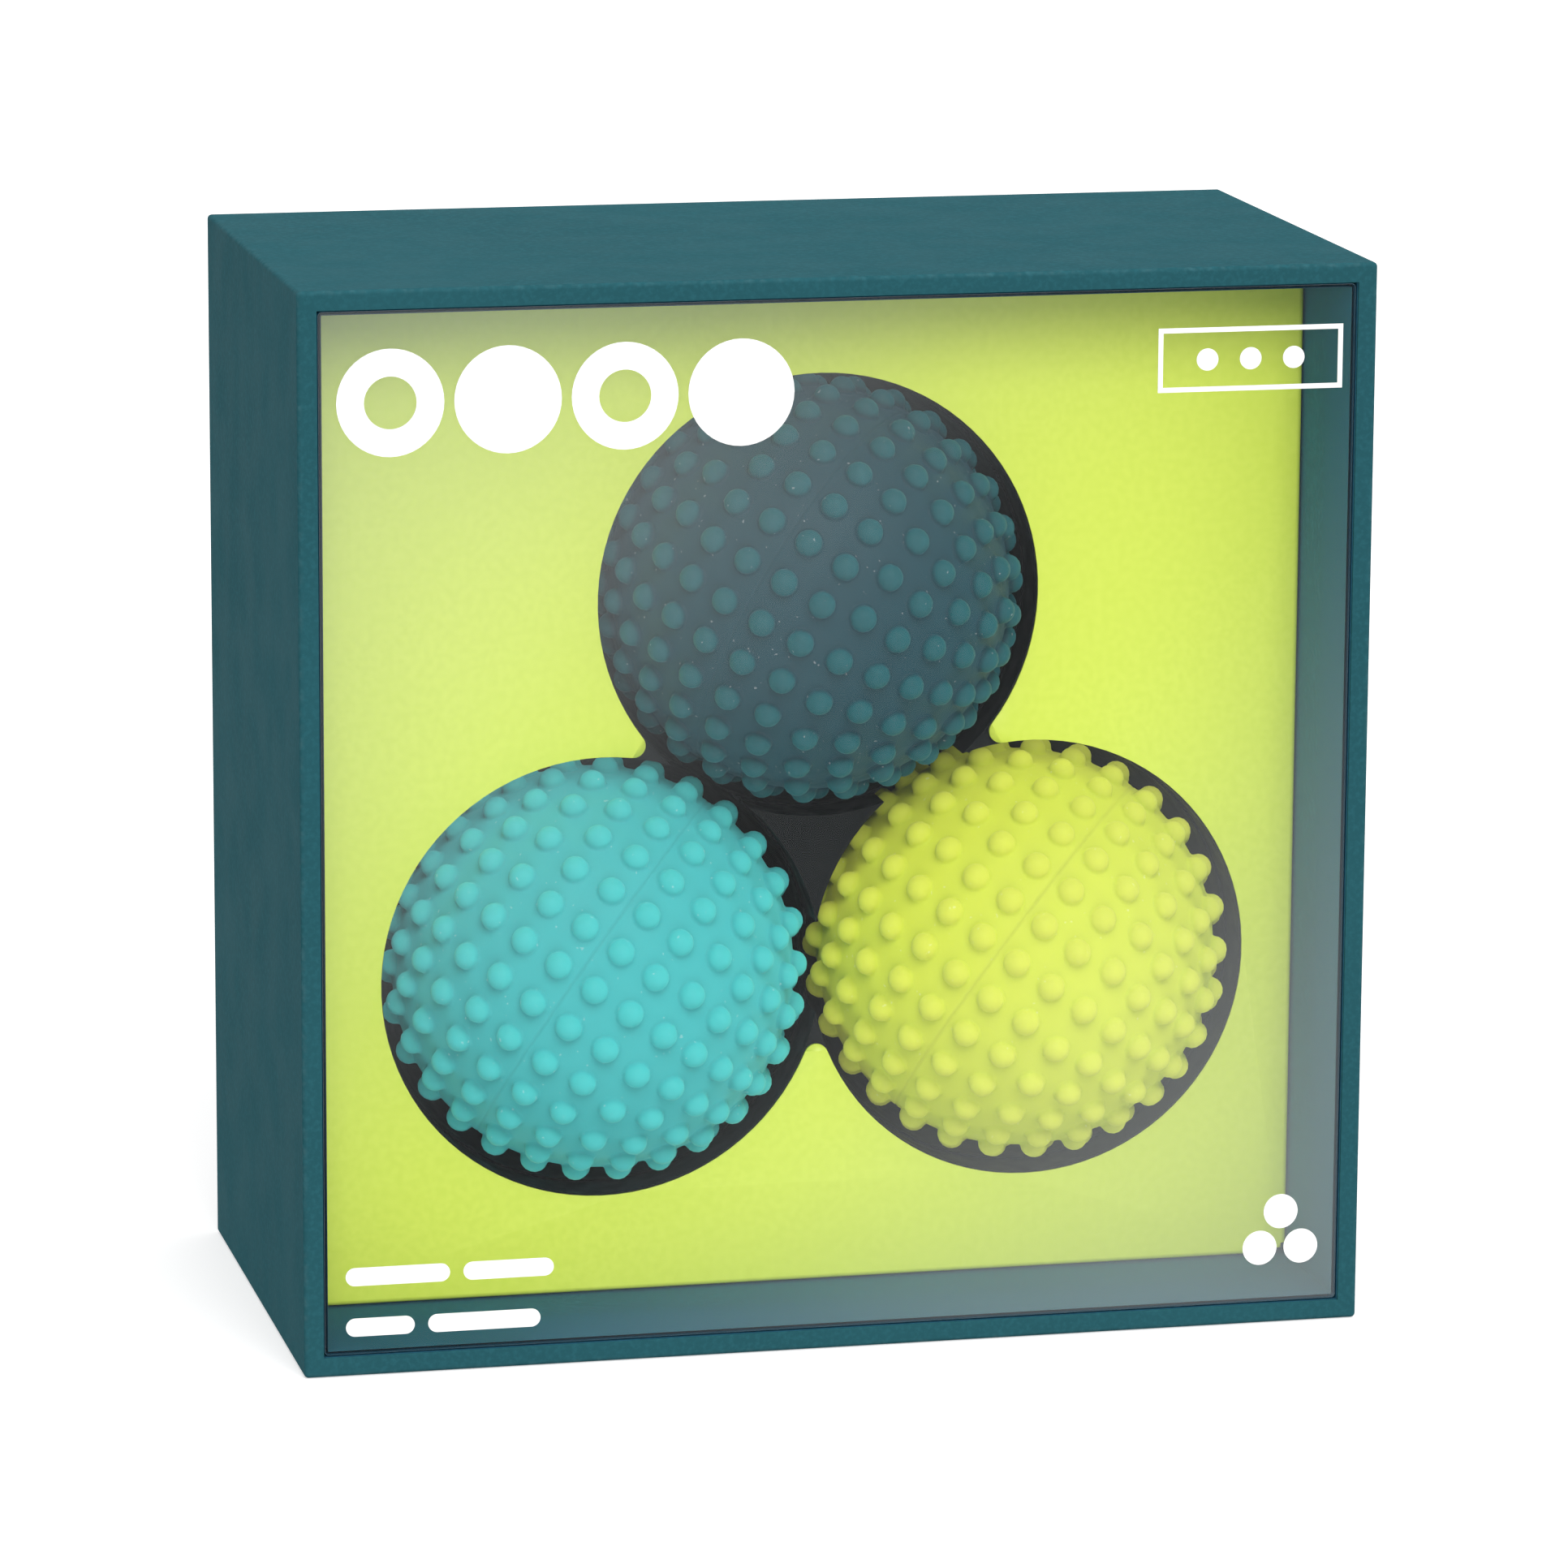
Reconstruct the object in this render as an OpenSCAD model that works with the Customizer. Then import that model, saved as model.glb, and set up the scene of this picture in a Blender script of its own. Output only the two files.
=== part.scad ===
// Boxed set of three silicone-covered magnetic balls.
// A windowed board sleeve stands on its bottom face. An inner tray, which carries the insert
// card and the balls, slides out of the back of the sleeve, and then the balls lift out.
// Millimetres, +Z up, front towards -Y, origin under the middle of the pack.

/* [Pack] */
// Width of the pack, left to right
pack_w = 88; // [86:0.5:96]
// Height of the pack
pack_h = 88; // [84:0.5:96]
// Depth of the pack, front to back
pack_d = 46; // [43:0.5:60]
// Thickness of the grey board
board_t = 1.2; // [1:0.1:1.4]
// Thickness of the covering and lining papers
paper_t = 0.2; // [0.15:0.05:0.25]
// Gap between the sleeve and what slides in it, on each side
slide_gap = 0.15; // [0.1:0.05:0.3]

/* [Window] */
// Thickness of the clear window sheet
pane_t = 0.3; // [0.2:0.05:0.4]
// How far the window sheet's folded edges run back
pane_flange = 7; // [5:0.5:9]
// Thickness of the double-sided tape
tape_t = 0.1; // [0.05:0.05:0.15]
// Thickness of the printed ink
ink_t = 0.06; // [0.04:0.01:0.1]

/* [Insert card and tray] */
// Thickness of the insert card
card_t = 0.4; // [0.3:0.05:0.5]
// How far the card's face lies behind the front of the pack
card_depth = 14.4; // [12:0.2:16]
// How far the card's four folded edges run back
card_flange = 14; // [11:0.5:18]
// Radius of each lobe of the card's cut-out
lobe_r = 18.5; // [18.4:0.1:18.8]
// Radius of the rounded points between two lobes
notch_r = 1; // [0.6:0.1:1.5]
// Thickness of the thermoformed tray
tray_t = 0.6; // [0.5:0.1:0.8]
// Gap between a ball and its pocket
pocket_gap = 0.4; // [0.3:0.1:0.5]

/* [Balls] */
// Diameter of a ball over its bumps
ball_d = 35.6; // [35:0.1:35.6]
// Distance between the centres of two balls
ball_pitch = 36; // [36:0.1:36.4]
// How far the balls' centres lie behind the front of the pack
ball_depth = 18.8; // [18.8:0.1:20]
// How far the group of balls sits to the right of the middle
group_x = 1.4; // [0:0.1:2]
// Radius of each round bump
bump_r = 1.1; // [0.9:0.05:1.2]
// Height of a bump's centre above the skin
bump_lift = 0.1; // [0.05:0.05:0.3]
// Thickness of the silicone skin between its bumps
skin_t = 2.6; // [2:0.1:3]

/* [Hidden] */
cut = 1;

// Places along the pack, from front to back
front_y = -pack_d / 2;
back_y = pack_d / 2;
pane_y = front_y + paper_t;
card_y = front_y + card_depth;
tray_y = card_y + card_t;
rim_y = tray_y + tray_t + tape_t;
ball_y = front_y + ball_depth;
mid_z = pack_h / 2;

// The sleeve's opening, and what fits in it, each given as [width, height]
outside = [pack_w, pack_h];
board_out = outside - 2 * [paper_t, paper_t];
board_in = board_out - 2 * [board_t, board_t];
opening = board_in - 2 * [paper_t, paper_t];
pane_out = opening - 2 * [tape_t, tape_t];
card_out = opening - 2 * [slide_gap, slide_gap];
card_in = card_out - 2 * [card_t, card_t];
wrap_out = card_in - 2 * [tape_t, tape_t];
base_out = wrap_out - 2 * [paper_t, paper_t];
skirt_gap = 0.2;
skirt_out = base_out - 2 * [board_t + skirt_gap, board_t + skirt_gap];
skirt_d = 8;
corner_slit = 0.5;

// Tape strips
window_tape_d = 5;
tape_len = 60;
card_tape_d = 8;

// Ball centres, as [x, z], and how each ball happens to lie, as rotate() angles
row_h = ball_pitch * sqrt(3) / 2;
top_ball = [group_x, mid_z + row_h / 2];
left_ball = [group_x - ball_pitch / 2, mid_z - row_h / 2];
right_ball = [group_x + ball_pitch / 2, mid_z - row_h / 2];
centres = [top_ball, left_ball, right_ball];
teal_turn = [-117, -3, -121];
turquoise_turn = [-124, -10, -106];
lime_turn = [-125, -12, -109];

// Ball make-up: magnet, silicone skin in two halves, bumps in rings about the moulding axis
skin_r = ball_d / 2 - bump_r - bump_lift;
cavity_r = skin_r - skin_t;
magnet_gap = 0.05;
ring_step = 12;
ring_counts = [28, 28, 23, 23, 17, 12, 6, 1];
pocket_r = ball_d / 2 + pocket_gap;
mouth_r = pocket_r + 0.2;

// Print on the window: where each group of marks is centred, as [x, z]
title_at = [-22.5, 79];
title_d = 8.6;
title_pitch = 9.4;
stroke = 2.2;
label_at = [33.5, 80.5];
label_size = [15.4, 5.2];
thin_stroke = 0.4;
lines_at = [-40.6, 8.2];
line_pitch = 4.2;
line_h = 1.5;
mark_at = [37.4, 7.4];
mark_d = 2.9;
mark_pitch = 3.5;

// A block centred on the pack's middle line, between two places along the pack
module block(size, y0, y1) {
    translate([-size[0] / 2, y0, mid_z - size[1] / 2])
        cube([size[0], y1 - y0, size[1]]);
}

// A rectangular tube with walls of one thickness
module tube(size, t, y0, y1) {
    difference() {
        block(size, y0, y1);
        block(size - 2 * [t, t], y0 - cut, y1 + cut);
    }
}

// A flat outline in x and z, made into a sheet between two places along the pack
module sheet(y0, y1) {
    translate([0, y1, 0])
        rotate([90, 0, 0])
            linear_extrude(height = y1 - y0)
                children();
}

// One strip on each of the four sides, lying just outside a rectangle
module side_strips(size, t, length, y0, y1) {
    for (side = [-1, 1]) {
        translate([side * (size[0] + t) / 2 - t / 2, y0, mid_z - length / 2])
            cube([t, y1 - y0, length]);
        translate([-length / 2, y0, mid_z + side * (size[1] + t) / 2 - t / 2])
            cube([length, y1 - y0, t]);
    }
}

// ---- Sleeve ----

module sleeve_board() {
    color([0.62, 0.6, 0.56])
        tube(board_out, board_t, front_y + paper_t, back_y - paper_t);
}

// Covers the outside and turns in over both ends of the board
module sleeve_wrap() {
    color([0.17, 0.36, 0.4])
    difference() {
        block(outside, front_y, back_y);
        block(board_out, front_y + paper_t, back_y - paper_t);
        block(opening, front_y - cut, back_y + cut);
    }
}

module sleeve_lining() {
    color([0.39, 0.49, 0.5])
        tube(board_in, paper_t, front_y + paper_t, back_y - paper_t);
}

// A shallow clear tray: the window, and an edge folded back along each wall
module window_pane() {
    color([0.9, 0.95, 0.95, 0.3])
    difference() {
        block(pane_out, pane_y, pane_y + pane_flange);
        block(pane_out - 2 * [pane_t, pane_t], pane_y + pane_t, pane_y + pane_flange + cut);
    }
}

module window_tape() {
    color([0.95, 0.95, 0.9])
        tube(opening, tape_t, pane_y + 1, pane_y + 1 + window_tape_d);
}

module dot(at, d) {
    translate(at)
        circle(d = d, $fn = 64);
}

module ring(at, d, w) {
    difference() {
        dot(at, d);
        dot(at, d - 2 * w);
    }
}

// A bar with round ends, from its left end
module bar(at, length, h) {
    dot([at[0] + h / 2, at[1]], h);
    dot([at[0] + length - h / 2, at[1]], h);
    translate([at[0] + h / 2, at[1] - h / 2])
        square([length - h, h]);
}

// Four large marks: ring, disc, ring, disc
module title_marks() {
    for (i = [0 : 3]) {
        at = title_at + [(i - 1.5) * title_pitch, 0];
        if (i % 2 == 0)
            ring(at, title_d, stroke);
        else
            dot(at, title_d);
    }
}

// An outlined label with three dots in it
module label_mark() {
    difference() {
        translate(label_at - label_size / 2)
            square(label_size);
        translate(label_at - label_size / 2 + [thin_stroke, thin_stroke])
            square(label_size - 2 * [thin_stroke, thin_stroke]);
    }
    for (i = [-1 : 1])
        dot(label_at + [i * 3.6, 0], 1.8);
}

// Two rows of plain bars
module line_marks() {
    bar(lines_at, 8.5, line_h);
    bar(lines_at + [9.6, 0], 7.4, line_h);
    bar(lines_at - [0, line_pitch], 5.6, line_h);
    bar(lines_at + [6.7, -line_pitch], 9.2, line_h);
}

// Three dots in a triangle, like the balls
module corner_mark() {
    for (i = [0 : 2])
        dot(mark_at + mark_pitch / sqrt(3) * [sin(120 * i), cos(120 * i)], mark_d);
}

module window_print() {
    color("white")
    sheet(pane_y - ink_t, pane_y) {
        title_marks();
        label_mark();
        line_marks();
        corner_mark();
    }
}

// ---- Inner tray ----

// An open board box that faces the front
module base_board() {
    color([0.62, 0.6, 0.56])
    difference() {
        block(base_out, rim_y, back_y - paper_t);
        block(base_out - 2 * [board_t, board_t], rim_y - cut, back_y - paper_t - board_t);
    }
}

module base_wrap() {
    color([0.17, 0.36, 0.4])
    difference() {
        block(wrap_out, rim_y, back_y);
        block(base_out, rim_y - cut, back_y - paper_t);
    }
}

// The room that one ball needs in the tray, grown by t for the outside of its cup
module pocket(at, t, y0) {
    translate([at[0], ball_y, at[1]]) {
        sphere(r = pocket_r + t, $fn = 96);
        rotate([90, 0, 0])
            cylinder(r = mouth_r + t, h = ball_y - y0, $fn = 96);
    }
}

// One formed sheet: a rim that lies on the board, a skirt that locates it, three cups
module ball_tray() {
    color([0.16, 0.19, 0.2])
    difference() {
        union() {
            block(base_out, tray_y, tray_y + tray_t);
            tube(skirt_out, tray_t, tray_y, tray_y + skirt_d);
            for (at = centres)
                pocket(at, tray_t, tray_y);
        }
        for (at = centres)
            pocket(at, 0, tray_y - cut);
        block(outside, front_y - cut, tray_y);
    }
}

module tray_tape() {
    color([0.95, 0.95, 0.9])
        side_strips(base_out - 2 * [board_t, board_t], board_t, tape_len, rim_y - tape_t, rim_y);
}

// Where the rounded point between two lobes is centred, on the side away from the third
function notch_at(a, b, third) =
    let (middle = (a + b) / 2,
         out = middle - third,
         reach = sqrt(pow(lobe_r + notch_r, 2) - pow(norm(a - b) / 2, 2)))
    middle + out / norm(out) * reach;

// Three round lobes joined into one opening, with a rounded point between each two
module cut_out() {
    for (at = centres)
        dot(at, 2 * lobe_r);
    polygon(centres);
    for (i = [0 : 2]) {
        a = centres[i];
        b = centres[(i + 1) % 3];
        tip = notch_at(a, b, centres[(i + 2) % 3]);
        difference() {
            polygon([a, b, tip]);
            dot(tip, 2 * notch_r);
        }
    }
}

// Face with its cut-out, and an edge folded back on each side with open corners
module insert_card() {
    color([0.84, 0.91, 0.4])
    difference() {
        block(card_out, card_y, card_y + card_flange);
        block(card_in, card_y + card_t, card_y + card_flange + cut);
        sheet(card_y - cut, card_y + card_t + cut)
            cut_out();
        for (x = [-1, 1], z = [-1, 1])
            translate([x * card_out[0] / 2, card_y + card_t, mid_z + z * card_out[1] / 2])
                rotate([-90, 0, 0])
                    translate([-card_t - corner_slit, -card_t - corner_slit, 0])
                        cube([2 * (card_t + corner_slit), 2 * (card_t + corner_slit), pack_d]);
    }
}

module card_tape() {
    color([0.95, 0.95, 0.9])
        side_strips(wrap_out, tape_t, tape_len, rim_y + 2, rim_y + 2 + card_tape_d);
}

// ---- Balls ----

// Puts a ball in its pocket, turned to the way it lies there
module place_ball(at, turn) {
    translate([at[0], ball_y, at[1]])
        rotate(turn)
            children();
}

module magnet() {
    color([0.2, 0.2, 0.21])
        sphere(r = cavity_r - magnet_gap, $fn = 96);
}

// Half of the skin, above the seam: rings of bumps from beside the seam up to the pole
module half_skin() {
    difference() {
        union() {
            sphere(r = skin_r, $fn = 96);
            for (k = [0 : len(ring_counts) - 1])
                for (i = [0 : ring_counts[k] - 1])
                    rotate([0, 90 - min(90, ring_step * (k + 0.5)), i * 360 / ring_counts[k]])
                        translate([0, 0, skin_r + bump_lift])
                            sphere(r = bump_r, $fn = 24);
        }
        sphere(r = cavity_r, $fn = 96);
        translate([-ball_d, -ball_d, -2 * ball_d])
            cube(2 * ball_d);
    }
}

// The left half lies below the seam, and the right half above it
module skin_left() {
    mirror([0, 0, 1])
        half_skin();
}

module skin_right() {
    half_skin();
}

module teal_magnet() { place_ball(top_ball, teal_turn) magnet(); }
module teal_skin_left() { color([0.27, 0.4, 0.43]) place_ball(top_ball, teal_turn) skin_left(); }
module teal_skin_right() { color([0.27, 0.4, 0.43]) place_ball(top_ball, teal_turn) skin_right(); }
module turquoise_magnet() { place_ball(left_ball, turquoise_turn) magnet(); }
module turquoise_skin_left() {
    color([0.36, 0.78, 0.78]) place_ball(left_ball, turquoise_turn) skin_left();
}
module turquoise_skin_right() {
    color([0.36, 0.78, 0.78]) place_ball(left_ball, turquoise_turn) skin_right();
}
module lime_magnet() { place_ball(right_ball, lime_turn) magnet(); }
module lime_skin_left() { color([0.84, 0.89, 0.38]) place_ball(right_ball, lime_turn) skin_left(); }
module lime_skin_right() { color([0.84, 0.89, 0.38]) place_ball(right_ball, lime_turn) skin_right(); }

sleeve_board();
sleeve_wrap();
sleeve_lining();
window_pane();
window_tape();
window_print();
base_board();
base_wrap();
ball_tray();
tray_tape();
insert_card();
card_tape();
teal_magnet();
teal_skin_left();
teal_skin_right();
turquoise_magnet();
turquoise_skin_left();
turquoise_skin_right();
lime_magnet();
lime_skin_left();
lime_skin_right();
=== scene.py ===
"""The looks of a boxed set of three silicone-covered magnetic balls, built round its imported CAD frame.

Everything is in metres in the row frame: the window faces -Y, +Z is up, and the pack stands on z = 0.
"""

import math

import bmesh
import bpy
import numpy as np
from mathutils import Matrix, Vector
from mathutils.geometry import delaunay_2d_cdt

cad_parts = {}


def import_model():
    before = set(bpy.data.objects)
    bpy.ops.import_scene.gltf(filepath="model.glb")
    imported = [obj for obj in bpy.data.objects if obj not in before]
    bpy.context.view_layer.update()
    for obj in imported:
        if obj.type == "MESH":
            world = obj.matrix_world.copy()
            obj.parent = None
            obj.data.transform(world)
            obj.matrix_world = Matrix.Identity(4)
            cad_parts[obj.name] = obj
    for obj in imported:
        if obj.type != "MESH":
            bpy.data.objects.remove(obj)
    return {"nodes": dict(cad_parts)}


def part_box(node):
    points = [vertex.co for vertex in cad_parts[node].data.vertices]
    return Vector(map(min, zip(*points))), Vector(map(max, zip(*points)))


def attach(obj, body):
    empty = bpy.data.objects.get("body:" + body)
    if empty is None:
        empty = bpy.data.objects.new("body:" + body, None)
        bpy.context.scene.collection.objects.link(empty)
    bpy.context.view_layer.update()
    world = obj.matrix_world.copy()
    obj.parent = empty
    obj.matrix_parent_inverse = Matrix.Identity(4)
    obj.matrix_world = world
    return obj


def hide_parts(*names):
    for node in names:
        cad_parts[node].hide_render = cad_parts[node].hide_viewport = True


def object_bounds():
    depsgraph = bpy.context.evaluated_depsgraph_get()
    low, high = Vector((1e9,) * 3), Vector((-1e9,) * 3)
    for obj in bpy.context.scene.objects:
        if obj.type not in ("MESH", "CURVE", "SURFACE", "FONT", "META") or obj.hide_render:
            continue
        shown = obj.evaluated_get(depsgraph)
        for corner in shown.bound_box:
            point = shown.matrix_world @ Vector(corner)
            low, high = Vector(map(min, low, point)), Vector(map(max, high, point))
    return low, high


MM = 0.001

# Paper, board and sheet: how sharply each one folds or is cut
WRAP_FOLD_R = 0.35 * MM
LIP_R = 0.08 * MM
SHEET_FOLD_R = 0.35 * MM
CARD_FOLD_R = 0.5 * MM
CORNER_SLIT = 0.5 * MM
PANE_T = 0.3 * MM
CARD_T = 0.4 * MM
ARC_STEPS = 4

# Painted glare on the window sheet, a whitish veil that stands in for reflected light: how strong it gets,
# and between which distances from the diagonal
PAINTED_GLARE_MOST = 0.08
PAINTED_GLARE_FROM = 2 * MM
PAINTED_GLARE_TO = 78 * MM

# The window sheet's glued edges, as distances past its border, and the most shine it shows
GLUED_FROM = -0.42 * MM
GLUED_TO = -0.32 * MM
MOST_SHINE = 0.04

# The card's cut-out, as in the CAD model
LOBE_R = 18.5 * MM
NOTCH_R = 1.0 * MM
CUT_STEP = math.radians(4)

# The balls, as in the CAD model: bumps in rings about the moulding axis
BUMP_R = 1.1 * MM
BUMP_LIFT = 0.1 * MM
SKIN_T = 2.6 * MM
MAGNET_GAP = 0.05 * MM
RING_STEP = 12
RING_COUNTS = (28, 28, 23, 23, 17, 12, 6, 1)
TURNS = {"teal": (-117, -3, -121), "turquoise": (-124, -10, -106), "lime": (-125, -12, -109)}

# Finer shape of the silicone
FILLET_R = 0.25 * MM
BUMP_SIDES = 16
SEAM_POINTS = 200
SEAM_HALF_WIDTH = 0.22 * MM
SEAM_DEPTH = 0.05 * MM
CAVITY_RINGS = 8

# Kinds of triangulation
WHOLE_HULL = 0
WITH_HOLES = 2

# How close two points count as one
CARD_EPSILON = 1e-9
SKIN_EPSILON = 1e-7
WELD = 0.001 * MM

# Where a Mix node keeps its two colours and its result
MIX_A = 6
MIX_B = 7
MIX_RESULT = 2

# The view
CAMERA_AT = (-0.13963, -0.60791, 0.17422)
CAMERA_YAW = 12.98
CAMERA_PITCH = 11.95
CAMERA_ROLL = 0.32
CAMERA_LENS = 175.85
SENSOR = 36

# The studio: how bright its sky and floor are, next to a white sky
SKY_LOW = 0.64
SKY_HIGH = 0.95
FLOOR_GLOW = 0.47
FLOOR_HALF = 6.0
FLOOR_DROP = 0.05 * MM

# Between which heights of a direction the sky goes from dim to bright
HORIZON_LOW = -0.15
HORIZON_HIGH = 0.2


def srgb(r, g, b):
    """A colour given as 0-255 display values, as linear RGBA."""
    def linear(v):
        v /= 255
        return v / 12.92 if v <= 0.04045 else ((v + 0.055) / 1.055) ** 2.4
    return (linear(r), linear(g), linear(b), 1)


# ---------------------------------------------------------------- materials


class Shader:
    """A node material under construction: one Principled shader, and helpers that add nodes to it."""

    def __init__(self, name, colour, roughness):
        self.material = bpy.data.materials.new(name)
        self.material.use_nodes = True
        self.tree = self.material.node_tree
        self.nodes = self.tree.nodes
        self.bsdf = self.nodes["Principled BSDF"]
        self.out = self.nodes["Material Output"]
        self.bsdf.inputs["Base Color"].default_value = colour
        self.bsdf.inputs["Roughness"].default_value = roughness
        self.where = self.nodes.new("ShaderNodeTexCoord").outputs["Object"]

    def link(self, a, b):
        self.tree.links.new(a, b)

    def set(self, **values):
        for name, value in values.items():
            self.bsdf.inputs[name.replace("_", " ")].default_value = value

    def noise(self, scale, detail=3, roughness=0.5, stretch=None):
        """Noise of a feature size given as cycles per metre, optionally stretched along an axis."""
        node = self.nodes.new("ShaderNodeTexNoise")
        node.inputs["Scale"].default_value = scale
        node.inputs["Detail"].default_value = detail
        node.inputs["Roughness"].default_value = roughness
        source = self.where
        if stretch:
            mapping = self.nodes.new("ShaderNodeMapping")
            mapping.inputs["Scale"].default_value = stretch
            self.link(source, mapping.inputs["Vector"])
            source = mapping.outputs["Vector"]
        self.link(source, node.inputs["Vector"])
        return node.outputs["Fac"]

    def spread(self, value, low, high, to_low=0.0, to_high=1.0):
        """Maps low-high to to_low-to_high, smoothly and without passing either end."""
        node = self.nodes.new("ShaderNodeMapRange")
        node.interpolation_type = "SMOOTHSTEP"
        ends = {"From Min": low, "From Max": high, "To Min": to_low, "To Max": to_high}
        for name, number in ends.items():
            node.inputs[name].default_value = number
        self.link(value, node.inputs["Value"])
        return node.outputs["Result"]

    def math(self, operation, a, b=None):
        node = self.nodes.new("ShaderNodeMath")
        node.operation = operation
        for socket, value in zip(node.inputs, (a, b)):
            if value is None:
                continue
            if isinstance(value, (int, float)):
                socket.default_value = value
            else:
                self.link(value, socket)
        return node.outputs["Value"]

    def mix(self, factor, a, b):
        """Mixes two colours; each is a socket or an RGBA value."""
        node = self.nodes.new("ShaderNodeMix")
        node.data_type = "RGBA"
        self.link(factor, node.inputs["Factor"])
        for socket, value in ((node.inputs[MIX_A], a), (node.inputs[MIX_B], b)):
            if isinstance(value, tuple):
                socket.default_value = value
            else:
                self.link(value, socket)
        return node.outputs[MIX_RESULT]

    def attribute(self, name):
        node = self.nodes.new("ShaderNodeAttribute")
        node.attribute_name = name
        return node.outputs["Fac"]

    def bump(self, height, distance):
        """Adds relief of a depth given in metres, on top of any relief already there."""
        node = self.nodes.new("ShaderNodeBump")
        node.inputs["Distance"].default_value = distance
        node.inputs["Strength"].default_value = 1.0
        self.link(height, node.inputs["Height"])
        normal = self.bsdf.inputs["Normal"]
        if normal.is_linked:
            self.link(normal.links[0].from_socket, node.inputs["Normal"])
        self.link(node.outputs["Normal"], normal)

    def colour(self, socket):
        self.link(socket, self.bsdf.inputs["Base Color"])

    def roughness(self, socket):
        self.link(socket, self.bsdf.inputs["Roughness"])

    def near_edges(self, centre, half, width):
        """1 at the edges of a box and 0 further in: the second-nearest face is what makes an edge."""
        split = self.nodes.new("ShaderNodeSeparateXYZ")
        self.link(self.where, split.inputs["Vector"])
        gaps = []
        for axis in range(3):
            off = self.math("ABSOLUTE", self.math("SUBTRACT", split.outputs[axis], centre[axis]))
            gaps.append(self.math("SUBTRACT", half[axis], off))
        a, b, c = gaps
        pairs = [self.math("MAXIMUM", p, q) for p, q in ((a, b), (b, c), (a, c))]
        second = self.math("MINIMUM", self.math("MINIMUM", pairs[0], pairs[1]), pairs[2])
        return self.spread(second, 0, width, 1, 0)


def printed_paper(name, colour, worn, centre, half, gloss):
    """Matt-laminated printed paper: fine tooth, faint clouding, and rubbed corners and edges."""
    s = Shader(name, colour, 0.6)
    s.set(Specular_IOR_Level=gloss)
    cloud = s.spread(s.noise(45, 4), 0.35, 0.7)
    dark = tuple(0.94 * v for v in colour[:3]) + (1,)
    light = tuple(1.16 * v for v in colour[:3]) + (1,)
    base = s.mix(cloud, dark, colour)
    base = s.mix(s.spread(s.noise(2300, 3), 0.4, 0.75), base, light)
    rub = s.math("MULTIPLY", s.near_edges(centre, half, 0.5 * MM), s.spread(s.noise(1500, 5), 0.4, 0.75))
    s.colour(s.mix(s.math("MULTIPLY", rub, 0.1), base, worn))
    s.roughness(s.spread(s.noise(160, 3), 0.3, 0.75, 0.55, 0.65))
    s.bump(s.noise(5200, 2, stretch=(1, 1, 0.6)), 0.004 * MM)
    return s.material


def grey_board(name):
    """Uncoated recycled board, with fibres and flecks."""
    s = Shader(name, srgb(158, 152, 141), 0.9)
    fibre = s.spread(s.noise(2600, 4, stretch=(1, 0.25, 1)), 0.3, 0.7)
    base = s.mix(fibre, srgb(139, 132, 121), srgb(172, 166, 155))
    fleck = s.spread(s.noise(3800, 1), 0.68, 0.72)
    s.colour(s.mix(fleck, base, srgb(92, 86, 78)))
    s.bump(s.noise(2600, 4, stretch=(1, 0.25, 1)), 0.05 * MM)
    return s.material


def insert_card_print(name):
    """Flat chartreuse ink on smooth card: a slight print mottle and a satin finish."""
    s = Shader(name, srgb(216, 234, 90), 0.42)
    s.set(Specular_IOR_Level=0.4)
    mottle = s.spread(s.noise(1500, 3), 0.3, 0.7)
    cloud = s.spread(s.noise(38, 2), 0.3, 0.7)
    base = s.mix(mottle, srgb(212, 231, 80), srgb(218, 236, 88))
    s.colour(s.mix(s.math("MULTIPLY", cloud, 0.3), base, srgb(209, 229, 76)))
    s.roughness(s.spread(s.noise(240, 3), 0.3, 0.7, 0.38, 0.5))
    s.bump(s.noise(6000, 2), 0.003 * MM)
    return s.material


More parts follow.
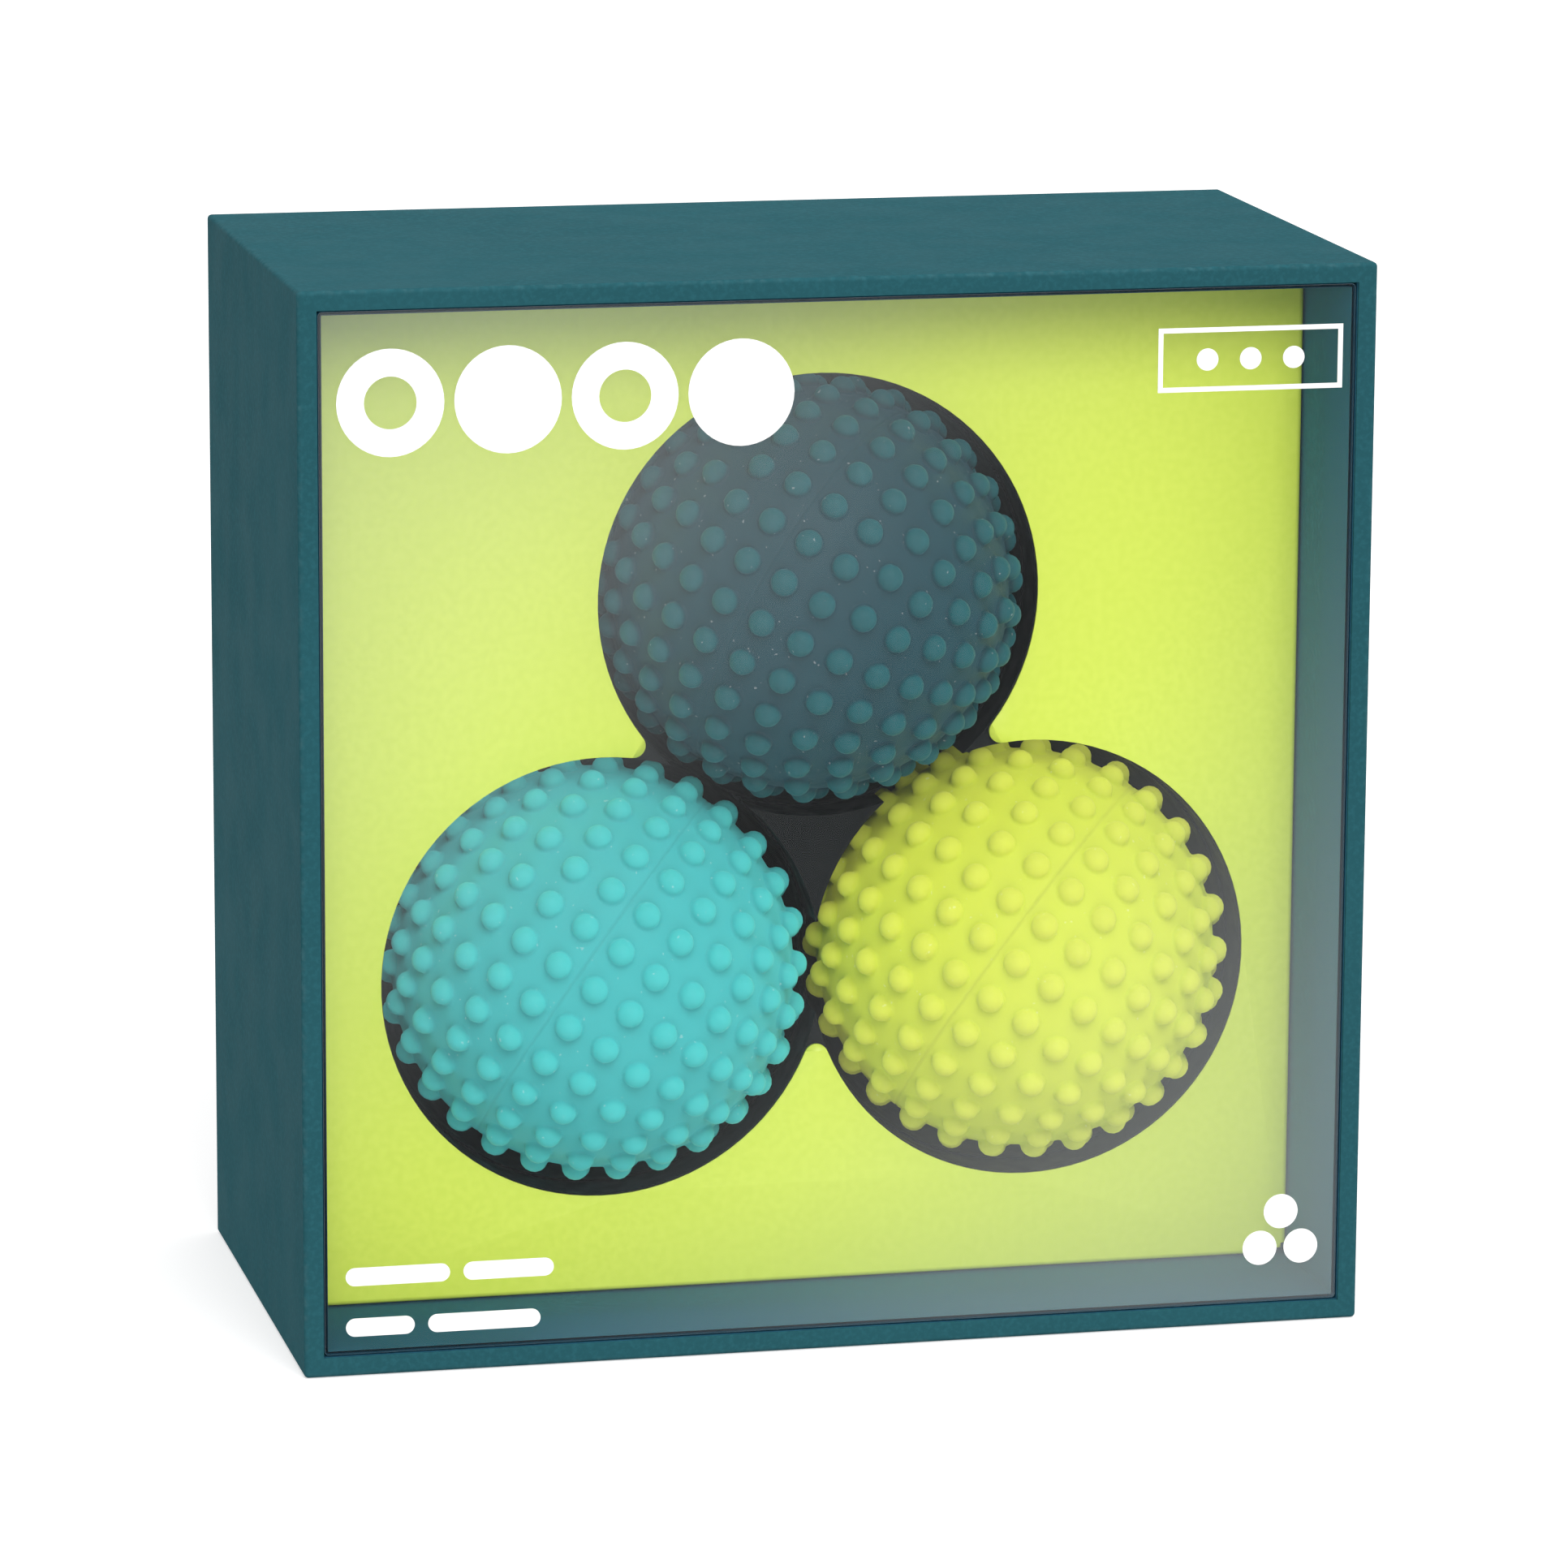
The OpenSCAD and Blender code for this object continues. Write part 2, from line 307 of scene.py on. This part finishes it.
def clear_sheet(name, lo, hi, behind):
    """Clear window sheet: a faint painted glare towards two corners, and the wall's colour on its glued
    edges.
    """
    s = Shader(name, (0.9, 0.95, 0.97, 1), 0.04)
    clear = s.nodes.new("ShaderNodeBsdfTransparent")
    fresnel = s.nodes.new("ShaderNodeFresnel")
    fresnel.inputs["IOR"].default_value = 1.2
    split = s.nodes.new("ShaderNodeSeparateXYZ")
    s.link(s.where, split.inputs["Vector"])
    middle, half = (lo + hi) / 2, (hi - lo) / 2
    across = s.math("SUBTRACT", split.outputs["X"], middle.x)
    up = s.math("SUBTRACT", split.outputs["Z"], middle.z)
    side = s.math("SUBTRACT", s.math("ABSOLUTE", across), half.x)
    end = s.math("SUBTRACT", s.math("ABSOLUTE", up), half.z)
    facing = s.nodes.new("ShaderNodeSeparateXYZ")
    s.link(s.nodes.new("ShaderNodeNewGeometry").outputs["Normal"], facing.inputs["Vector"])
    along_wall = s.spread(s.math("ABSOLUTE", facing.outputs["Y"]), 0.3, 0.6, 1.0, 0.0)
    near_border = s.spread(s.math("MAXIMUM", side, end), GLUED_FROM, GLUED_TO)
    glued = s.math("MULTIPLY", near_border, along_wall)
    face = s.math("SUBTRACT", 1, glued)
    slant = s.math("SUBTRACT", across, up)
    # Painted glare: the sheet turns whitish away from the diagonal, towards the upper-left and lower-right
    # corners, in place of a reflection
    painted_glare = s.spread(s.math("ABSOLUTE", slant), PAINTED_GLARE_FROM, PAINTED_GLARE_TO, 0.0, PAINTED_GLARE_MOST)
    # The glare is joined by a faint uneven haze of the sheet itself
    glare_and_haze = s.math("ADD", painted_glare, s.spread(s.noise(26, 3), 0.45, 0.75, 0.0, 0.004))
    shine = s.math("MINIMUM", fresnel.outputs["Fac"], MOST_SHINE)
    veil_with_painted_glare = s.math("MULTIPLY", s.math("ADD", shine, glare_and_haze), face)
    s.colour(s.mix(glued, (0.9, 0.95, 0.97, 1), behind))
    mixer = s.nodes.new("ShaderNodeMixShader")
    s.link(s.math("ADD", veil_with_painted_glare, glued), mixer.inputs["Fac"])
    s.link(clear.outputs["BSDF"], mixer.inputs[1])
    s.link(s.bsdf.outputs["BSDF"], mixer.inputs[2])
    s.link(mixer.outputs["Shader"], s.out.inputs["Surface"])
    smears = s.spread(s.noise(90, 3), 0.3, 0.7, 0.03, 0.09)
    s.roughness(s.math("ADD", smears, s.math("MULTIPLY", glued, 0.5)))
    s.set(Specular_IOR_Level=0.0)
    return s.material


def clear_tape(name):
    """Clear double-sided tape, nearly invisible, with small trapped bubbles."""
    s = Shader(name, (0.8, 0.85, 0.85, 1), 0.3)
    clear = s.nodes.new("ShaderNodeBsdfTransparent")
    mixer = s.nodes.new("ShaderNodeMixShader")
    s.link(s.spread(s.noise(700, 2), 0.62, 0.7, 0.01, 0.05), mixer.inputs["Fac"])
    s.link(clear.outputs["BSDF"], mixer.inputs[1])
    s.link(s.bsdf.outputs["BSDF"], mixer.inputs[2])
    s.link(mixer.outputs["Shader"], s.out.inputs["Surface"])
    return s.material


def white_ink(name):
    """Screen-printed white: opaque, slightly glossy, with an orange-peel surface."""
    s = Shader(name, srgb(252, 252, 252), 0.35)
    s.colour(s.mix(s.spread(s.noise(900, 3), 0.3, 0.7), srgb(248, 248, 247), srgb(254, 254, 254)))
    s.bump(s.noise(2400, 2), 0.006 * MM)
    return s.material


def tray_plastic(name):
    """Charcoal formed sheet with a fine leathery grain."""
    s = Shader(name, srgb(12, 16, 19), 0.6)
    s.set(Specular_IOR_Level=0.12)
    base = s.mix(s.spread(s.noise(300, 3), 0.3, 0.7), srgb(11, 15, 18), srgb(14, 18, 21))
    s.colour(base)
    s.roughness(s.spread(s.noise(500, 3), 0.3, 0.7, 0.42, 0.6))
    s.bump(s.noise(2600, 2), 0.012 * MM)
    return s.material


def silicone(name, body, bump):
    """Soft matt silicone: lighter bumps, slight mottle, moulding grain, and a few specks of dust."""
    s = Shader(name, body, 0.45)
    s.set(Specular_IOR_Level=0.15, Diffuse_Roughness=1.0, Sheen_Weight=0.02, Sheen_Roughness=0.5)
    s.set(Subsurface_Weight=0.3, Subsurface_Scale=1.5 * MM, Subsurface_Radius=(1.0, 0.9, 0.8))
    lift = s.spread(s.attribute("lift"), 0.05, 0.5)
    colour = s.mix(lift, body, bump)
    mottle = s.spread(s.noise(260, 3), 0.3, 0.7, 0.0, 0.06)
    colour = s.mix(mottle, colour, tuple(0.8 * v for v in body[:3]) + (1,))
    grain = s.spread(s.noise(5200, 2), 0.35, 0.65, 0.0, 0.10)
    colour = s.mix(grain, colour, tuple(1.3 * v for v in body[:3]) + (1,))
    speck = s.spread(s.noise(2600, 1, 0.3), 0.765, 0.78, 0.0, 0.5)
    pale = tuple(0.55 * v + 0.45 * 0.8 for v in body[:3]) + (1,)
    s.colour(s.mix(speck, colour, pale))
    s.roughness(s.spread(s.noise(700, 3), 0.3, 0.7, 0.5, 0.62))
    s.bump(s.noise(4200, 3), 0.008 * MM)
    return s.material


def ferrite(name):
    """Ground black ferrite."""
    s = Shader(name, srgb(52, 52, 54), 0.38)
    s.set(Metallic=0.35)
    s.colour(s.mix(s.spread(s.noise(1400, 3), 0.3, 0.7), srgb(44, 44, 46), srgb(62, 62, 65)))
    s.bump(s.noise(2500, 3), 0.01 * MM)
    return s.material


def floor_paint(name):
    """A plain pale floor, lit faintly from below like a shooting table."""
    s = Shader(name, (0.62, 0.62, 0.62, 1), 0.8)
    s.set(Specular_IOR_Level=0.0, Emission_Color=(1, 1, 1, 1), Emission_Strength=FLOOR_GLOW)
    s.colour(s.mix(s.spread(s.noise(6, 2), 0.3, 0.7), (0.6, 0.6, 0.6, 1), (0.64, 0.64, 0.64, 1)))
    return s.material


# ---------------------------------------------------------------- mesh helpers


def new_piece(name, points, faces, material, sharp_degrees=35):
    """A mesh object, with outward normals and smooth shading that breaks at sharp edges."""
    mesh = bpy.data.meshes.new(name)
    mesh.from_pydata([tuple(p) for p in points], [], faces)
    work = bmesh.new()
    work.from_mesh(mesh)
    bmesh.ops.recalc_face_normals(work, faces=work.faces)
    work.to_mesh(mesh)
    work.free()
    mesh.polygons.foreach_set("use_smooth", [True] * len(mesh.polygons))
    mesh.set_sharp_from_angle(angle=math.radians(sharp_degrees))
    mesh.materials.append(material)
    piece = bpy.data.objects.new(name, mesh)
    bpy.context.scene.collection.objects.link(piece)
    return piece


def flat_faces_stay_flat(piece):
    """Lets large faces set the normals of the small rounded ones beside them."""
    modifier = piece.modifiers.new("weighted_normals", "WEIGHTED_NORMAL")
    modifier.keep_sharp = True


def arc(centre, radius, start, end, steps):
    """Points (u, v) along an arc, both ends included, angles in degrees."""
    angles = np.radians(np.linspace(start, end, steps + 1))
    return [(centre[0] + radius * math.cos(a), centre[1] + radius * math.sin(a)) for a in angles]


def rounded_loop(lo, hi, inset, y, corner_r):
    """A rectangle with round corners in x and z, inset from the box lo-hi, at one y."""
    radius = max(corner_r - inset, 0.02 * MM)
    x0, x1 = lo.x + inset + radius, hi.x - inset - radius
    z0, z1 = lo.z + inset + radius, hi.z - inset - radius
    corners = (((x1, z1), 0), ((x0, z1), 90), ((x0, z0), 180), ((x1, z0), 270))
    return [(x, y, z) for centre, a in corners for x, z in arc(centre, radius, a, a + 90, ARC_STEPS)]


def looped_piece(name, loops, material, closed):
    """Joins loops of equal length: a closed profile joins the last to the first, an open one is capped."""
    count = len(loops[0])
    points = [p for loop in loops for p in loop]
    faces = []
    last = len(loops) if closed else len(loops) - 1
    for i in range(last):
        a, b = i * count, (i + 1) % len(loops) * count
        for k in range(count):
            n = (k + 1) % count
            faces.append((a + k, a + n, b + n, b + k))
    if not closed:
        faces.append(tuple(range(count)))
        faces.append(tuple(range((len(loops) - 1) * count, len(loops) * count)))
    piece = new_piece(name, points, faces, material)
    flat_faces_stay_flat(piece)
    return piece


def put(piece, body, slot, *nodes):
    """Rides a piece on its body and hides the CAD nodes it stands for; the slot argument is not used."""
    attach(piece, body)
    if nodes:
        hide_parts(*nodes)


# ---------------------------------------------------------------- sleeve


def sleeve_wrap(material):
    """Paper over the outside, turned in over the front and back edges of the board."""
    lo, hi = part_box("sleeve_wrap")
    paper = hi.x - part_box("sleeve_board")[1].x
    wall = hi.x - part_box("window_tape")[1].x
    front, back, r, lip = lo.y, hi.y, WRAP_FOLD_R, LIP_R
    profile = arc((r, front + r), r, 180, 270, ARC_STEPS)
    profile += arc((wall - lip, front + lip), lip, 270, 360, 2)
    profile += [(wall, front + paper), (paper, front + paper)]
    profile += [(paper, back - paper), (wall, back - paper)]
    profile += arc((wall - lip, back - lip), lip, 0, 90, 2)
    profile += arc((r, back - r), r, 90, 180, ARC_STEPS)
    loops = [rounded_loop(lo, hi, inset, y, WRAP_FOLD_R) for inset, y in profile]
    return looped_piece("sleeve_wrap_folded", loops, material, closed=True)


def window_pane(material):
    """A clear face with rounded folds and an edge running back along each wall."""
    lo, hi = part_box("window_pane")
    r, inner = SHEET_FOLD_R, SHEET_FOLD_R - PANE_T
    front, back = lo.y, hi.y
    profile = arc((r, front + r), r, 270, 180, ARC_STEPS)
    profile += [(0, back), (PANE_T, back)]
    profile += arc((r, front + r), inner, 180, 270, ARC_STEPS)
    loops = [rounded_loop(lo, hi, inset, y, SHEET_FOLD_R) for inset, y in profile]
    return looped_piece("window_pane_folded", loops, material, closed=False)


# ---------------------------------------------------------------- inner tray


def base_wrap(material):
    """Paper over the back and sides of the board box, folded round its back edges."""
    lo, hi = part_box("base_wrap")
    paper = hi.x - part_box("base_board")[1].x
    r = WRAP_FOLD_R
    profile = arc((r, hi.y - r), r, 90, 180, ARC_STEPS)
    profile += [(0, lo.y), (paper, lo.y), (paper, hi.y - paper), (paper + r, hi.y - paper)]
    loops = [rounded_loop(lo, hi, inset, y, WRAP_FOLD_R) for inset, y in profile]
    return looped_piece("base_wrap_folded", loops, material, closed=False)


def ball_centres():
    """The middle of each ball, from its magnet."""
    centres = {}
    for name in TURNS:
        lo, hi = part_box(name + "_magnet")
        centres[name] = (lo + hi) / 2
    return centres


def notch_centre(a, b, third):
    """Where the rounded point between two lobes is centred, on the side away from the third lobe."""
    middle = (a + b) / 2
    out = (middle - third).normalized()
    return middle + out * math.sqrt((LOBE_R + NOTCH_R) ** 2 - (a - b).length_squared / 4)


def turn_between(centre, radius, start, end, way):
    """Points on an arc from one direction to another, anticlockwise for way 1 and clockwise for -1."""
    a = math.atan2(start.y, start.x)
    sweep = (way * (math.atan2(end.y, end.x) - a)) % math.tau
    steps = max(4, round(sweep / CUT_STEP))
    angles = [a + way * sweep * i / steps for i in range(steps + 1)]
    return [Vector((centre.x + radius * math.cos(t), centre.y + radius * math.sin(t))) for t in angles]


def cut_out_outline():
    """The three-lobed opening in x and z, anticlockwise, with a rounded point between each two lobes."""
    at = ball_centres()
    lobes = [Vector((at[n].x, at[n].z)) for n in ("turquoise", "lime", "teal")]
    outline = []
    for i in range(3):
        before, here, after = lobes[i - 1], lobes[i], lobes[(i + 1) % 3]
        first, second = notch_centre(before, here, after), notch_centre(here, after, before)
        outline += turn_between(here, LOBE_R, first - here, second - here, 1)[:-1]
        outline += turn_between(second, NOTCH_R, here - second, after - second, -1)[:-1]
    return outline


def insert_card(material):
    """One folded card: the face with its opening, and an edge folded back on each side."""
    lo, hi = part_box("insert_card")
    centre = Vector(((lo.x + hi.x) / 2, (lo.z + hi.z) / 2))
    half = Vector(((hi.x - lo.x) / 2, (hi.z - lo.z) / 2))
    r, slit = CARD_FOLD_R, CARD_T + CORNER_SLIT
    flat = [h - r for h in half]
    reach = [h - slit for h in half]
    corners = [(1, 1), (-1, 1), (-1, -1), (1, -1)]
    rim = []
    for sx, sz in corners:
        corner = [(flat[0], reach[1]), (flat[0], flat[1]), (reach[0], flat[1])]
        corner = corner if sx * sz > 0 else corner[::-1]
        rim += [centre + Vector((sx * x, sz * z)) for x, z in corner]
    hole = cut_out_outline()
    outlines = [list(range(len(rim))), list(range(len(rim), len(rim) + len(hole)))]
    found = delaunay_2d_cdt(rim + hole, [], outlines, WITH_HOLES, CARD_EPSILON)
    points = [(p.x, lo.y, p.y) for p in found[0]]
    faces = [tuple(f) for f in found[2]]
    fold = arc((-r, lo.y + r), r, -90, 0, ARC_STEPS) + [(0, hi.y)]
    for axis, sign in ((0, 1), (0, -1), (1, 1), (1, -1)):
        start = len(points)
        for off, y in fold:
            for end in (-1, 1):
                p = Vector((0.0, 0.0))
                p[axis] = sign * (half[axis] + off)
                p[1 - axis] = end * reach[1 - axis]
                p += centre
                points.append((p.x, y, p.y))
        firsts = range(start, start + 2 * len(fold) - 2, 2)
        faces += [(k, k + 1, k + 3, k + 2) for k in firsts]
    piece = new_piece("insert_card_folded", points, faces, material)
    work = bmesh.new()
    work.from_mesh(piece.data)
    bmesh.ops.remove_doubles(work, verts=work.verts, dist=WELD)
    bmesh.ops.recalc_face_normals(work, faces=work.faces)
    front = [f for f in work.faces if abs(f.normal.y) > 0.9]
    if sum(f.normal.y * f.calc_area() for f in front) > 0:
        bmesh.ops.reverse_faces(work, faces=work.faces)
    work.to_mesh(piece.data)
    work.free()
    solid = piece.modifiers.new("card_thickness", "SOLIDIFY")
    solid.thickness = CARD_T
    solid.offset = -1
    flat_faces_stay_flat(piece)
    return piece


# ---------------------------------------------------------------- balls


def bump_profile():
    """Rings down one bump, as (distance from its axis along the skin, height over the skin, tilt)."""
    foot = math.degrees(math.acos((FILLET_R - BUMP_LIFT) / (BUMP_R + FILLET_R)))
    rings = []
    for tilt in (22, 44, 63, foot):
        t = math.radians(tilt)
        rings.append((BUMP_R * math.sin(t), BUMP_LIFT + BUMP_R * math.cos(t), t))
    reach = (BUMP_R + FILLET_R) * math.sin(math.radians(foot))
    for tilt in (foot * 0.55, 0):
        t = math.radians(tilt)
        rings.append((reach - FILLET_R * math.sin(t), FILLET_R - FILLET_R * math.cos(t), t))
    return rings


def seam_profile():
    """Rows beside the seam, as (distance from it along the skin, height over the skin, tilt)."""
    rows = []
    for part in (0, 0.5, 1):
        a = math.pi * part
        fall = SEAM_DEPTH / 2 * (1 + math.cos(a))
        slope = SEAM_DEPTH / 2 * math.pi / SEAM_HALF_WIDTH * math.sin(a)
        rows.append((part * SEAM_HALF_WIDTH, -fall, math.atan(slope)))
    return rows


def bump_directions():
    """Unit directions of the bumps on one half, from beside the seam to the pole."""
    found = []
    for k, count in enumerate(RING_COUNTS):
        lat = math.radians(min(90, RING_STEP * (k + 0.5)))
        for i in range(count):
            found.append(on_sphere(lat, math.tau * i / count))
    return found


def on_sphere(lat, lon):
    return Vector((math.cos(lat) * math.cos(lon), math.cos(lat) * math.sin(lon), math.sin(lat)))


class HalfSkin:
    """One half of a skin about its own centre: seam at z = 0 and moulding pole at +z."""

    def __init__(self, skin_r):
        self.skin_r = skin_r
        self.directions, self.heights, self.normals = [], [], []
        self.add_seam_rows()
        self.add_bumps()
        self.triangulate()

    def add(self, axis, away, travel, height, tilt):
        """A point reached from an axis by going some way along the skin, and its exact normal."""
        a = travel / self.skin_r
        up = axis * math.cos(a) + away * math.sin(a)
        along = away * math.cos(a) - axis * math.sin(a)
        self.directions.append(tuple(up))
        self.heights.append(height)
        self.normals.append(tuple(up * math.cos(tilt) + along * math.sin(tilt)))

    def add_seam_rows(self):
        pole = Vector((0, 0, 1))
        for travel, height, tilt in seam_profile():
            for i in range(SEAM_POINTS):
                self.add(on_sphere(0, math.tau * i / SEAM_POINTS), pole, travel, height, -tilt)

    def add_bumps(self):
        profile = bump_profile()
        for axis in bump_directions():
            side = axis.orthogonal().normalized()
            other = axis.cross(side)
            self.add(axis, side, 0, BUMP_LIFT + BUMP_R, 0)
            for travel, height, tilt in profile:
                for i in range(BUMP_SIDES):
                    t = math.tau * i / BUMP_SIDES
                    self.add(axis, side * math.cos(t) + other * math.sin(t), travel, height, tilt)

    def triangulate(self):
        """Joins the points into a surface, in the plane that a stereographic projection gives."""
        directions = np.array(self.directions)
        flat = directions[:, :2] / (1 + directions[:, 2:])
        found = delaunay_2d_cdt([Vector(p) for p in flat], [], [], WHOLE_HULL, SKIN_EPSILON)
        source = [ids[0] for ids in found[3]]
        place = {s: i for i, s in enumerate(source)}
        self.rise = np.array(self.heights)[source]
        self.points = directions[source] * (self.skin_r + self.rise)[:, None]
        self.normals = np.array(self.normals)[source]
        self.outer_faces = [tuple(f) for f in found[2]]
        self.seam = [place[i] for i in range(SEAM_POINTS)]

    def close(self, cavity_r):
        """Adds the flat seam face and the round room for the magnet."""
        points, faces = [], []
        previous, start = self.seam, len(self.points)
        for k in range(CAVITY_RINGS):
            lat = math.radians(90 * k / CAVITY_RINGS)
            ring = [start + len(points) + i for i in range(SEAM_POINTS)]
            points += [on_sphere(lat, math.tau * i / SEAM_POINTS) * cavity_r for i in range(SEAM_POINTS)]
            for i in range(SEAM_POINTS):
                n = (i + 1) % SEAM_POINTS
                faces.append((previous[i], previous[n], ring[n], ring[i]))
            previous = ring
        top = start + len(points)
        points.append(Vector((0, 0, cavity_r)))
        faces += [(previous[i], previous[(i + 1) % SEAM_POINTS], top) for i in range(SEAM_POINTS)]
        inner = np.zeros((len(points), 3))
        self.points = np.vstack([self.points, np.array([tuple(p) for p in points])])
        self.normals = np.vstack([self.normals, inner])
        self.rise = np.concatenate([self.rise, inner[:, 0]])
        self.faces = self.outer_faces + faces

    def piece(self, name, turn, centre, side, material):
        """A mesh object of this half, mirrored for side -1, with exact normals over the bumps."""
        mirror = np.array((1, 1, side))
        placed = (self.points * mirror) @ turn.T + centre
        piece = new_piece(name, placed, self.faces, material, 60)
        mesh = piece.data
        lift = mesh.attributes.new("lift", "FLOAT", "POINT")
        lift.data.foreach_set("value", (self.rise / (BUMP_R + BUMP_LIFT)).astype(np.float32))
        normals = (self.normals * mirror) @ turn.T
        corners = np.zeros((len(mesh.loops), 3))
        for face in mesh.polygons[: len(self.outer_faces)]:
            for corner in face.loop_indices:
                corners[corner] = normals[mesh.loops[corner].vertex_index]
        mesh.normals_split_custom_set(corners)
        return piece


def skins(materials):
    """Both halves of each ball's skin, turned to the way the ball lies in its pocket."""
    lo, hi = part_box("teal_magnet")
    cavity_r = (hi.x - lo.x) / 2 + MAGNET_GAP
    half = HalfSkin(cavity_r + SKIN_T)
    half.close(cavity_r)
    pieces = []
    for colour, centre in ball_centres().items():
        a, b, c = (math.radians(v) for v in TURNS[colour])
        turn = Matrix.Rotation(c, 3, "Z") @ Matrix.Rotation(b, 3, "Y") @ Matrix.Rotation(a, 3, "X")
        for side, sign in (("right", 1), ("left", -1)):
            name = f"{colour}_silicone_{side}"
            piece = half.piece(name, np.array(turn), np.array(centre), sign, materials[colour])
            put(piece, colour + "_ball", colour + "_silicone", f"{colour}_skin_{side}")
            pieces.append(piece)
    return pieces


# ---------------------------------------------------------------- surroundings


def light_group(name, pieces, state):
    """Pieces that a light does or doesn't reach, or that block it."""
    group = bpy.data.collections.new(name)
    for piece in pieces:
        group.objects.link(piece)
    for member in group.collection_objects:
        member.light_linking.link_state = state
    return group


def sun(name, towards, strength, spread, reaches=(), spares=(), blocked_by=()):
    """A soft far light, in units of a white sky's strength, on all pieces or only on some."""
    data = bpy.data.lights.new(name, "SUN")
    data.energy = strength * math.pi
    data.angle = math.radians(spread)
    light = bpy.data.objects.new(name, data)
    light.rotation_euler = Vector(towards).to_track_quat("Z", "Y").to_euler()
    bpy.context.scene.collection.objects.link(light)
    if reaches:
        light.light_linking.receiver_collection = light_group(name + "_reaches", reaches, "INCLUDE")
    if spares:
        light.light_linking.receiver_collection = light_group(name + "_spares", spares, "EXCLUDE")
    if blocked_by:
        light.light_linking.blocker_collection = light_group(name + "_blocked_by", blocked_by, "INCLUDE")


def sky():
    """A studio sky: even and bright over the pack, and dimmer below the horizon."""
    world = bpy.data.worlds.new("sky")
    world.use_nodes = True
    nodes, links = world.node_tree.nodes, world.node_tree.links
    background = nodes["Background"]
    background.inputs["Color"].default_value = (1, 1, 1, 1)
    split = nodes.new("ShaderNodeSeparateXYZ")
    links.new(nodes.new("ShaderNodeTexCoord").outputs["Generated"], split.inputs["Vector"])
    ramp = nodes.new("ShaderNodeMapRange")
    ramp.interpolation_type = "SMOOTHSTEP"
    ends = {"From Min": HORIZON_LOW, "From Max": HORIZON_HIGH, "To Min": SKY_LOW, "To Max": SKY_HIGH}
    for name, value in ends.items():
        ramp.inputs[name].default_value = value
    links.new(split.outputs["Z"], ramp.inputs["Value"])
    links.new(ramp.outputs["Result"], background.inputs["Strength"])
    bpy.context.scene.world = world


def surroundings(inside, card, balls):
    """A plain pale floor, an even sky, and soft lights: what is inside the pack has its own."""
    mesh = bpy.data.meshes.new("floor")
    s = FLOOR_HALF
    mesh.from_pydata([(-s, -s, 0), (s, -s, 0), (s, s, 0), (-s, s, 0)], [], [(0, 1, 2, 3)])
    mesh.materials.append(floor_paint("floor_paint"))
    floor = bpy.data.objects.new("floor", mesh)
    floor.location.z = -FLOOR_DROP
    bpy.context.scene.collection.objects.link(floor)
    # The pack's light from below comes from the sky's lower half, not from the glowing floor
    floor.visible_diffuse = False
    sky()
    sun("key", (0.12, -0.7, 0.68), 0.66, 34, spares=[*inside, card, *balls])
    sun("inside_key", (-0.1, -0.95, 0.2), 0.41, 34, reaches=inside)
    sun("card_key", (-0.05, -0.92, 0.4), 0.5, 26, reaches=[card])
    sun("ball_top", (0.0, -0.7, 0.7), 0.5, 44, reaches=balls, blocked_by=balls)
    sun("ball_low", (-0.1, -0.85, -0.5), 0.27, 60, reaches=balls, blocked_by=balls)


def camera():
    data = bpy.data.cameras.new("camera")
    data.lens = CAMERA_LENS
    data.sensor_width = SENSOR
    data.clip_start = 0.01
    thing = bpy.data.objects.new("camera", data)
    bpy.context.scene.collection.objects.link(thing)
    thing.matrix_world = (
        Matrix.Translation(CAMERA_AT)
        @ Matrix.Rotation(math.radians(-CAMERA_YAW), 4, "Z")
        @ Matrix.Rotation(math.radians(90 - CAMERA_PITCH), 4, "X")
        @ Matrix.Rotation(math.radians(CAMERA_ROLL), 4, "Z")
    )
    bpy.context.scene.camera = thing


def dress(frame, node, material):
    """Gives a CAD node that stays in view its material."""
    mesh = frame["nodes"][node].data
    mesh.materials.clear()
    mesh.materials.append(material)


def build():
    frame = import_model()
    cad_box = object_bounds()
    camera()
    pack_lo, pack_hi = cad_box
    centre, half = (pack_lo + pack_hi) / 2, (pack_hi - pack_lo) / 2
    teal = srgb(38, 84, 92)
    worn = srgb(128, 160, 164)
    paper = printed_paper("teal_paper", teal, worn, centre, half, 0.005)
    lo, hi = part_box("base_wrap")
    base_paper = printed_paper("base_paper", teal, worn, (lo + hi) / 2, (hi - lo) / 2, 0.005)
    slate = srgb(55, 112, 137)
    lining = printed_paper("slate_paper", slate, srgb(120, 140, 145), centre, half, 0)
    board, tape = grey_board("grey_board"), clear_tape("clear_tape")
    put(sleeve_wrap(paper), "sleeve", "teal_paper", "sleeve_wrap")
    pane = window_pane(clear_sheet("clear_sheet", *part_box("window_pane"), slate))
    put(pane, "sleeve", "clear_sheet", "window_pane")
    put(base_wrap(base_paper), "inner_tray", "teal_paper", "base_wrap")
    card = insert_card(insert_card_print("insert_card"))
    put(card, "inner_tray", "insert_card", "insert_card")
    balls = skins(
        {
            "teal": silicone("teal_silicone", srgb(38, 75, 85), srgb(36, 96, 102)),
            "turquoise": silicone("turquoise_silicone", srgb(75, 182, 183), srgb(77, 190, 189)),
            "lime": silicone("lime_silicone", srgb(206, 217, 72), srgb(206, 214, 79)),
        }
    )
    dressed = {
        "sleeve_board": board,
        "base_board": board,
        "sleeve_lining": lining,
        "window_tape": tape,
        "tray_tape": tape,
        "card_tape": tape,
        "window_print": white_ink("white_ink"),
        "ball_tray": tray_plastic("tray_plastic"),
    }
    magnet = ferrite("ferrite")
    for colour in TURNS:
        dressed[colour + "_magnet"] = magnet
    for node, material in dressed.items():
        dress(frame, node, material)
    frame["nodes"]["window_print"].visible_shadow = False
    surroundings([pane, frame["nodes"]["sleeve_lining"]], card, balls)
    bpy.context.scene.view_settings.view_transform = "Standard"


build()
